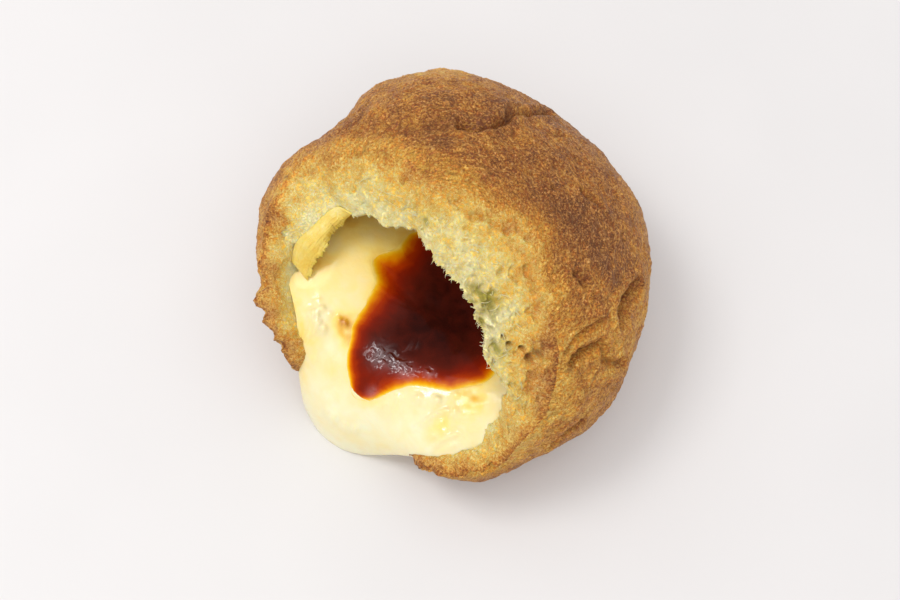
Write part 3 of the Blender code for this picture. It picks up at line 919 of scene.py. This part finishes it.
circle = frame_a * np.cos(corner)[None, None, :, None] + frame_b * np.sin(corner)[None, None, :, None]
tubes = path[:, :, None] + circle * radius[..., None]

points = np.concatenate([path[:, :1], tubes.reshape(THREADS, -1, 3), path[:, -1:]], 1)
index = 1 + np.arange(THREAD_RINGS * THREAD_SIDES).reshape(THREAD_RINGS, THREAD_SIDES)
beside = np.roll(index, -1, axis=1)
quads = np.stack([index[:-1], beside[:-1], beside[1:], index[1:]], -1).reshape(-1, 4)
caps = [[0, b, a] for a, b in zip(index[0], beside[0])]
caps += [[points.shape[1] - 1, a, b] for a, b in zip(index[-1], beside[-1])]
faces = [
    [corner + number * points.shape[1] for corner in side]
    for number in range(THREADS) for side in quads.tolist() + caps
]
mesh = bpy.data.meshes.new("torn_threads")
mesh.from_pydata((points.reshape(-1, 3) + RECENTRE) * MM, [], faces)
mesh.shade_smooth()
level = np.clip(0.06 + 0.05 * draw.normal(0, 1, THREADS), 0, 0.3).repeat(points.shape[1])
for field, value in (("toast", level), ("open", level * 0 + 1)):
    mesh.attributes.new(field, "FLOAT", "POINT").data.foreach_set("value", value)
mesh.attributes.new("flow", "FLOAT_VECTOR", "POINT").data.foreach_set("vector", flow_of(points).ravel())
mesh.materials.append(choux)
threads_piece = in_scene("torn_threads", mesh)
print("torn_threads -", THREADS, "threads,", len(faces), "faces")
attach(threads_piece, "root")
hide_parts("choux_shell")

# %% [markdown]
# # The custard
# The custard fills the hollow to its open surface and runs out over the low wall as a thick tongue. Its
# height is a function of x and y: a level with banks on it, a dip under the caramel and a rounded front.
# At the back it is as smooth as it set. At the front, where the spoon dragged it, it is lumpy, and each lump
# catches the light.

# %% The numbers that the custard shares with the CAD, but for its rim from 178 to 202 degrees
CUSTARD_LEVEL = 25.5
CUSTARD_BANKS = ((-24, 7, 4.5, 14), (12, -33, 4.0, 9), (-34, -13, 1.5, 8), (-8, -30, -0.8, 7))
FRONT_FALL = 3.4
# (azimuth, radius in mm, height in mm) of the custard's rim
CUSTARD_RIM = (
    (0, 38.5, 25), (60, 38.5, 25), (110, 39, 25), (150, 39.5, 29), (178, 37.8, 28), (190, 36, 26),
    (202, 37, 22), (209, 41.5, 8), (216, 42.8, 0), (231, 43, 0), (238, 41, 0), (245, 39, 3),
    (252, 38.8, 10), (259, 40, 15), (267, 41.3, 17), (276, 40.5, 18), (286, 39, 22), (300, 38.5, 26),
    (330, 38.5, 25),
)
CUSTARD_UNDERSIDE, FOOT_INSET, FOOT_INSET_HEIGHT, CUSTARD_CORNER = 3.0, 14.0, 20.0, 0.8
POOL_CENTRE = np.array((-6.0, -9.0))
# (azimuth, radius in mm) of the caramel's rim
POOL_RIM = (
    (0, 19), (35, 17), (70, 19), (96, 19.8), (119, 16.2), (136, 17.2), (151, 12.9), (170, 13.6),
    (195, 17.5), (213, 21.2), (227, 23.9), (236, 22.5), (246, 18), (257, 16.4), (270, 16.7), (290, 19),
    (312, 21.2), (335, 21),
)
POOL_DIP, POOL_BANK_SHARE, CARAMEL_DEPTH, CARAMEL_RIM, CARAMEL_SWELL = 2.5, 0.25, 4.0, 0.8, 0.8
print("custard", CUSTARD_LEVEL, "mm up, with a pool", CARAMEL_DEPTH, "mm deep")


# %% The custard's smooth surface
def eased(angle, table, column=1, reach=7):
    """The same curve as stations, averaged over twice this reach in degrees, as a thick cream rounds its corners."""
    return sum(stations(angle + off * reach, table, column) for off in (-1, -0.5, 0, 0.5, 1)) / 5


def pool_share(x, y):
    """How far out a point lies in the pool: 0 at its centre, 1 on its rim."""
    x, y = x - POOL_CENTRE[0], y - POOL_CENTRE[1]
    return np.hypot(x, y) / eased(np.degrees(np.arctan2(y, x)), POOL_RIM, reach=4)


def custard_top(x, y):
    """The smooth height: rim height + (level + banks - pool dip - rim height) * sqrt(1 - share^FRONT_FALL)."""
    level = CUSTARD_LEVEL + sum(bank[2] * mound(x, y, bank) for bank in CUSTARD_BANKS)
    level = level - POOL_DIP * (1 - smooth_step(1 - POOL_BANK_SHARE, 1, pool_share(x, y)))
    azimuth = np.degrees(np.arctan2(y, x))
    share = np.hypot(x, y) / eased(azimuth, CUSTARD_RIM)
    rim_height = eased(azimuth, CUSTARD_RIM, 2)
    return rim_height + (level - rim_height) * np.sqrt(1 - np.minimum(share, 1) ** FRONT_FALL)


print("the custard under the caramel's middle:", custard_top(*POOL_CENTRE).round(1), "mm")

# %% The custard's lumps, drag marks, stains and painted shade
# (x, y, height, radius) in mm
LUMPS = (
    (-31.2, -9.3, 1.2, 1.1), (-29.3, -8.4, 1.0, 0.9), (-30.6, -11.6, 1.4, 1.3), (-32.6, -13.3, 0.7, 0.7),
    (-29.0, -12.6, 0.8, 0.7), (-27.6, -9.8, 0.5, 0.8), (-25.6, -11.0, 0.9, 0.9), (-24.2, -11.6, 0.8, 0.8),
    (-24.0, -14.2, 0.6, 0.8), (-7.9, -28.0, 0.8, 1.0), (-3.7, -28.9, 0.8, 1.0), (0.2, -27.7, 0.6, 0.8),
    (-0.2, -31.8, 0.8, 1.2), (-27.6, -29.4, 1.7, 1.2), (-24.8, -31.4, 1.5, 1.0), (-22.3, -32.0, 1.1, 0.7),
    (-4.6, -36.2, 0.5, 0.7), (-2.2, -35.6, 0.5, 0.6), (-0.5, -38.2, 0.5, 0.7), (-16.2, -28.5, 0.4, 1.4),
    (-31.6, -18.0, 0.5, 1.0), (-30.2, -6.6, 0.6, 0.9),
    (-29.0, -27.9, 1.1, 0.8), (-12.5, -27.4, 0.5, 0.8), (-26.8, -18.6, 0.3, 0.6),
)
DRAGS = (((-8.5, -34.0), (-6.6, -33.1), (-4.2, -31.7), (-1.8, -31.0)), ((-5.8, -39.3), (-3.4, -37.3), (0.4, -36.2)))
# (x, y, more amber, radius in mm): stains, but the rows at (-31, 2) and (-24.5, 12) are painted shade under the
# hanging skin's edge
STAINS_AND_SHADE = (
    (-24.5, -11.5, 0.6, 2.6), (-23.5, -15, 0.4, 2.0), (2.0, -28.0, 0.3, 3.5), (5.0, -30.5, 0.3, 3.0),
    (-3.0, -33.8, 0.3, 3.0), (-31.5, -15.0, 0.15, 2.5), (-31.0, 2.0, 0.2, 3.0), (-24.5, 12.0, 0.25, 4.0),
    (-27.0, -19.5, 0.14, 2.0), (7.0, -26.0, 0.2, 4.0),
)
CUSTARD_AROUND, CUSTARD_RINGS, CUSTARD_SIDE_RINGS = 400, 110, 14
print(len(LUMPS), "lumps,", len(DRAGS), "drag marks,", len(STAINS_AND_SHADE), "stains")


def custard_detail(x, y):
    """What the spoon left on the custard in mm: swells and lumps at the front, drag marks, a sunken pool."""
    flat = np.stack([x, y, x * 0], -1)
    wet = 1 - smooth_step(-11, -3, y + 0.15 * (x + 30))
    clear = smooth_step(0.97, 1.12, pool_share(x, y))
    height = uneven(flat, (0.4, 6.5, 71), (0.2, 2.7, 72), (0.06, 1.1, 73))
    for lump_x, lump_y, lump, radius in LUMPS:
        away = np.hypot(x - lump_x, y - lump_y) / radius + 0.35 * noise(flat / 0.9, 76)
        height = height + 1.4 * lump * bell(away)
    for path in DRAGS:
        away = near_line(np.stack([x, y], -1), np.array(path))
        height = height + 0.55 * bell(away / 0.4) - 0.3 * bell((away - 1.0) / 0.5)
    azimuth = np.degrees(np.arctan2(y, x)) % 360
    beside_wall = bell((azimuth - 196) / 8) * smooth_step(30, 36, np.hypot(x, y))
    return height * wet * clear - 0.9 * (1 - smooth_step(0.86, 0.99, pool_share(x, y))) - 0.6 * beside_wall


# %% The custard's surface
around_custard = np.arange(CUSTARD_AROUND) * 360 / CUSTARD_AROUND
rim, rim_height = eased(around_custard, CUSTARD_RIM), eased(around_custard, CUSTARD_RIM, 2)
walled = smooth_step(0, FOOT_INSET_HEIGHT / 2, rim_height)
unit_x, unit_y = np.cos(np.radians(around_custard)), np.sin(np.radians(around_custard))

share = np.sin(np.linspace(0, np.pi / 2, CUSTARD_RINGS + 1))[1:, None]
x, y = unit_x * rim * share, unit_y * rim * share
edge_calm = np.sqrt(1 - np.minimum(share, 1) ** 6)
top = np.stack([x, y, custard_top(x, y) + custard_detail(x, y) * edge_calm], -1)
top[..., 2] = np.maximum(top[..., 2], 0.05)

share = np.linspace(0, 1, CUSTARD_SIDE_RINGS + 1)[1:, None]
level = rim_height + (CUSTARD_UNDERSIDE * walled - rim_height) * share
inset = np.clip(1 - level / FOOT_INSET_HEIGHT, 0, 1) ** 2 * FOOT_INSET * walled
radius = rim - np.maximum(inset, share * CUSTARD_CORNER)
side = np.stack([unit_x * radius, unit_y * radius, np.maximum(level, 0.0)], -1)
under = np.stack([side[-1] * (part, part, 0) + (0, 0, CUSTARD_UNDERSIDE) for part in (0.66, 0.33)])
rings = np.concatenate([top, side, under])

# %% The custard's colour and its wet film
x, y = rings[..., 0], rings[..., 1]
# Deeper yellow towards the back of the hollow: partly the custard's own colour, partly painted shade.
amber = 0.12 + 0.3 * smooth_step(-14, 2, y + 0.3 * (x + 25)) + uneven(rings, (0.1, 6.0, 74), (0.05, 2.2, 77))
uneven_patch = 1 + 0.5 * noise(rings / 1.8, 75)
# Stains, and painted shade under the hanging skin's edge.
for amber_patch in STAINS_AND_SHADE:
    amber = amber + amber_patch[2] * mound(x, y, amber_patch) * uneven_patch
wet = (1 - 0.75 * smooth_step(-9, -3, y + 0.15 * (x + 30))) * (1 - 0.8 * smooth_step(-1, 4, x))
azimuth = np.degrees(np.arctan2(y, x)) % 360
smeared = bell((azimuth - 197) / 11) * smooth_step(31, 38, np.hypot(x, y))
amber = amber + (0.3 + 0.25 * noise(rings / 1.5, 78)) * smeared
near_pool = bell(np.maximum(pool_share(x, y) - 1, 0) / 0.07)
amber = np.clip(amber + 0.12 * near_pool, 0, 1)

custard_piece = loft("custard_cream", rings, np.array((0, 0, top[0, :, 2].mean())),
    np.array((0, 0, CUSTARD_UNDERSIDE)), {"amber": amber, "wet": wet * (1 - 0.9 * smeared)}, custard_cream)
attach(custard_piece, "root")
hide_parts("custard_filling")

# %% [markdown]
# # The caramel
# The sauce is a shallow lens in the custard's dip. Its top swells a little, is proud where it ran down
# towards the front left, and is wrinkled there, where a skin had begun to set. Its colour follows its depth,
# which grows from the rim inwards: slowly where it has soaked into the custard, at once at the drip's edge.

# %% Where the caramel is deep, proud and wrinkled
# (azimuth, mm over which it deepens)
FEATHER = (
    (0, 3), (60, 3), (95, 4), (120, 5.5), (145, 6), (165, 4.6), (185, 3.2), (205, 2.1), (225, 1.5), (240, 1.4),
    (255, 2.8), (285, 4.2), (310, 4.4), (335, 3),
)
# (x, y, share of the depth left out, radius in mm)
THIN = ((-18.5, -23.5, 0.22, 6.0), (-13.0, -23.0, 0.12, 3.5), (-12.0, 3.0, 0.1, 5.0))
# (x, y, height, radius) in mm
PROUD = ((-17.5, -21.5, 0.9, 5.0), (-10.0, -22.5, 0.35, 3.5), (-5.0, -23.0, 0.25, 3.0))
# (x, y, radius) in mm
WRINKLED = ((-16.3, -18.3, 3.0), (-10.5, -22.3, 2.2), (-5.6, -22.8, 1.4), (-18.3, -26.0, 1.5), (-12.5, -20.5, 1.5))
CARAMEL_AROUND, CARAMEL_RINGS, CARAMEL_UNDER_RINGS = 300, 90, 8
print("it deepens over", min(row[1] for row in FEATHER), "to", max(row[1] for row in FEATHER), "mm")

# %% The caramel's surface
around_caramel = np.arange(CARAMEL_AROUND) * 360 / CARAMEL_AROUND
spot = np.stack([np.cos(np.radians(around_caramel)), np.sin(np.radians(around_caramel)), around_caramel * 0], -1)
rim = eased(around_caramel, POOL_RIM, reach=4) + 0.35 * noise(spot * 5, 81) + 0.12 * noise(spot * 11, 82)
share = np.linspace(0, 1, CARAMEL_RINGS + 1)[1:, None] ** 0.8
x = POOL_CENTRE[0] + spot[:, 0] * rim * share
y = POOL_CENTRE[1] + spot[:, 1] * rim * share
lift = CARAMEL_SWELL * (1 - share**6)
flat = np.stack([x, y, x * 0], -1)
inward = 1 - share**8
lift = lift + inward * sum(patch[2] * mound(x, y, patch) for patch in PROUD)
wrinkled = np.minimum(sum(mound(x, y, patch) for patch in WRINKLED), 1)
bent = flat + 0.5 * np.stack([noise(flat / 1.5, 83), noise(flat / 1.5, 84), x * 0], -1)
lift = lift + inward * wrinkled * (0.45 * (ridges(bent / (2.0, 1.4, 1), 85) - 0.5) + 0.2 * noise(bent / 1.1, 86))
lift = lift + inward * 0.12 * noise(flat / 5.0, 87)
bank = custard_top(x[-1], y[-1])
middle = custard_top(*POOL_CENTRE)
top = np.stack([x, y, middle + (bank - middle) * share**2.2 + lift], -1)

below = np.linspace(1, 0, CARAMEL_UNDER_RINGS + 1)[:-1, None]
below_x = POOL_CENTRE[0] + spot[:, 0] * rim * below
below_y = POOL_CENTRE[1] + spot[:, 1] * rim * below
drop = CARAMEL_RIM + (CARAMEL_DEPTH - CARAMEL_RIM) * (1 - below**2)
under = np.stack([below_x, below_y, custard_top(below_x, below_y) - drop], -1)
rings = np.concatenate([top, under])

print("caramel's top:", top[..., 2].min().round(1), "to", top[..., 2].max().round(1), "mm up")

# %% The caramel's depth
# The nearer a point is to a part of the rim, the more that part's feather counts, so the depth has no seams.
feather = (eased(around_caramel, FEATHER) * (1 + 0.3 * noise(spot * 4, 88)))[::4]
rim_x, rim_y = x[-1], y[-1]
away = np.hypot(x[..., None] - rim_x[::4], y[..., None] - rim_y[::4])
weight = np.maximum(away, 0.2) ** -3.0
feather = (weight * feather).sum(-1) / weight.sum(-1)
to_rim = np.minimum(near_line(np.stack([x, y], -1), np.stack([rim_x, rim_y], -1)[::3]), (1 - share) * rim)
deep = 1 - np.exp(-to_rim / feather)
for patch in THIN:
    deep = deep * (1 - patch[2] * mound(x, y, patch))
deep = deep + 0.03 * noise(flat / 2.5, 89) * smooth_step(0.05, 0.3, deep)
deep = np.concatenate([deep, np.zeros(under.shape[:2])])

set_skin = np.concatenate([wrinkled**1.6, np.zeros(under.shape[:2])])
caramel_piece = loft("caramel_pool", rings, np.array((*POOL_CENTRE, top[0, :, 2].mean())),
    np.array((*POOL_CENTRE, middle - CARAMEL_DEPTH)), {"deep": deep, "set_skin": set_skin}, caramel_syrup)
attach(caramel_piece, "root")
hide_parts("caramel_sauce")

# %% [markdown]
# # Floor, light and camera
# The puff stands on a plain pale table under a window high on the left, with the room's white walls filling
# the shadows. The camera looks down steeply from the front. The view transform is Standard, so
# that a hex colour comes out as it was written where it is fully lit.

# %% The floor
FLOOR_SIDE = 3.0  # metres

white_table, tree, shader, place = finish_named("matte_white_laminate")
cloud = grain_of(tree, place, 60 * MM, 2.0, 0.5)
paint = coloured(tree, cloud, (0.3, "#dad7d3"), (0.7, "#dddad6"))
set_sockets(shader, {"Roughness": 0.6}, Base_Color=paint)

half = FLOOR_SIDE / 2
mesh = bpy.data.meshes.new("table_top")
mesh.from_pydata([(-half, -half, 0), (half, -half, 0), (half, half, 0), (-half, half, 0)], [], [(0, 1, 2, 3)])
mesh.materials.append(white_table)
table_top = in_scene("table_top", mesh)
table_top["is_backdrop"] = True
print("floor", FLOOR_SIDE, "m")

# %% The lights
AIM = Vector((0.0, 0.0, 0.02))
# (name, direction to the light, distance m, side m, watts, colour)
LIGHTS = (
    ("window", (-0.43, 0.1, 0.89), 0.9, 0.32, 2.7, "#fdfdff"),
    ("white_wall", (0.0, -0.4, 0.92), 1.3, 1.3, 3.6, "#ffffff"),
)
for name, towards, distance, side_length, watts, colour in LIGHTS:
    lamp = bpy.data.lights.new(name, "AREA")
    lamp.energy, lamp.size, lamp.color = watts, side_length, linear(colour)[:3]
    fixture = in_scene(name, lamp)
    fixture.location = AIM + Vector(towards).normalized() * distance
    fixture.rotation_euler = Vector(towards).to_track_quat("Z", "Y").to_euler()

world = bpy.data.worlds.new("white_room")
world.use_nodes = True
world.node_tree.nodes["Background"].inputs["Color"].default_value = linear("#fafaff")
world.node_tree.nodes["Background"].inputs["Strength"].default_value = 0.9
bpy.context.scene.world = world
bpy.context.scene.view_settings.view_transform = "Standard"
print(len(LIGHTS), "lights and a white room")

# %% The camera
LENS, SENSOR, ELEVATION, DISTANCE = 58.0, 36.0, 68.6, 0.326

rise = np.radians(ELEVATION)
backward = np.array((0.0, -np.cos(rise), np.sin(rise)))
right = np.array((1.0, 0.0, 0.0))
upward = np.cross(backward, right)
target = (CENTRE + RECENTRE - 0.9 * right - 5.4 * upward) * MM
eye = target + backward * DISTANCE
camera_data = bpy.data.cameras.new("camera")
camera_data.lens, camera_data.sensor_width, camera_data.clip_start = LENS, SENSOR, 0.01
camera = in_scene("camera", camera_data)
camera.matrix_world = Matrix(np.vstack([np.stack([right, upward, backward, eye], 1), (0, 0, 0, 1)]).tolist())
bpy.context.scene.camera = camera
print("camera", round(DISTANCE / MM), "mm away,", ELEVATION, "degrees up")

# %% [markdown]
# # Size
# Both boxes, the CAD's and the finished puff's, are printed in mm. The finished puff has to fill the
# CAD's box and no more.

# %% The CAD's box and the puff's box
visual_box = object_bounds()
boxes = {"cad": [list(corner) for corner in cad_box], "visual": [list(corner) for corner in visual_box]}
for name, (low, high) in boxes.items():
    print(name, "box in mm:", [round((b - a) / MM, 1) for a, b in zip(low, high)])
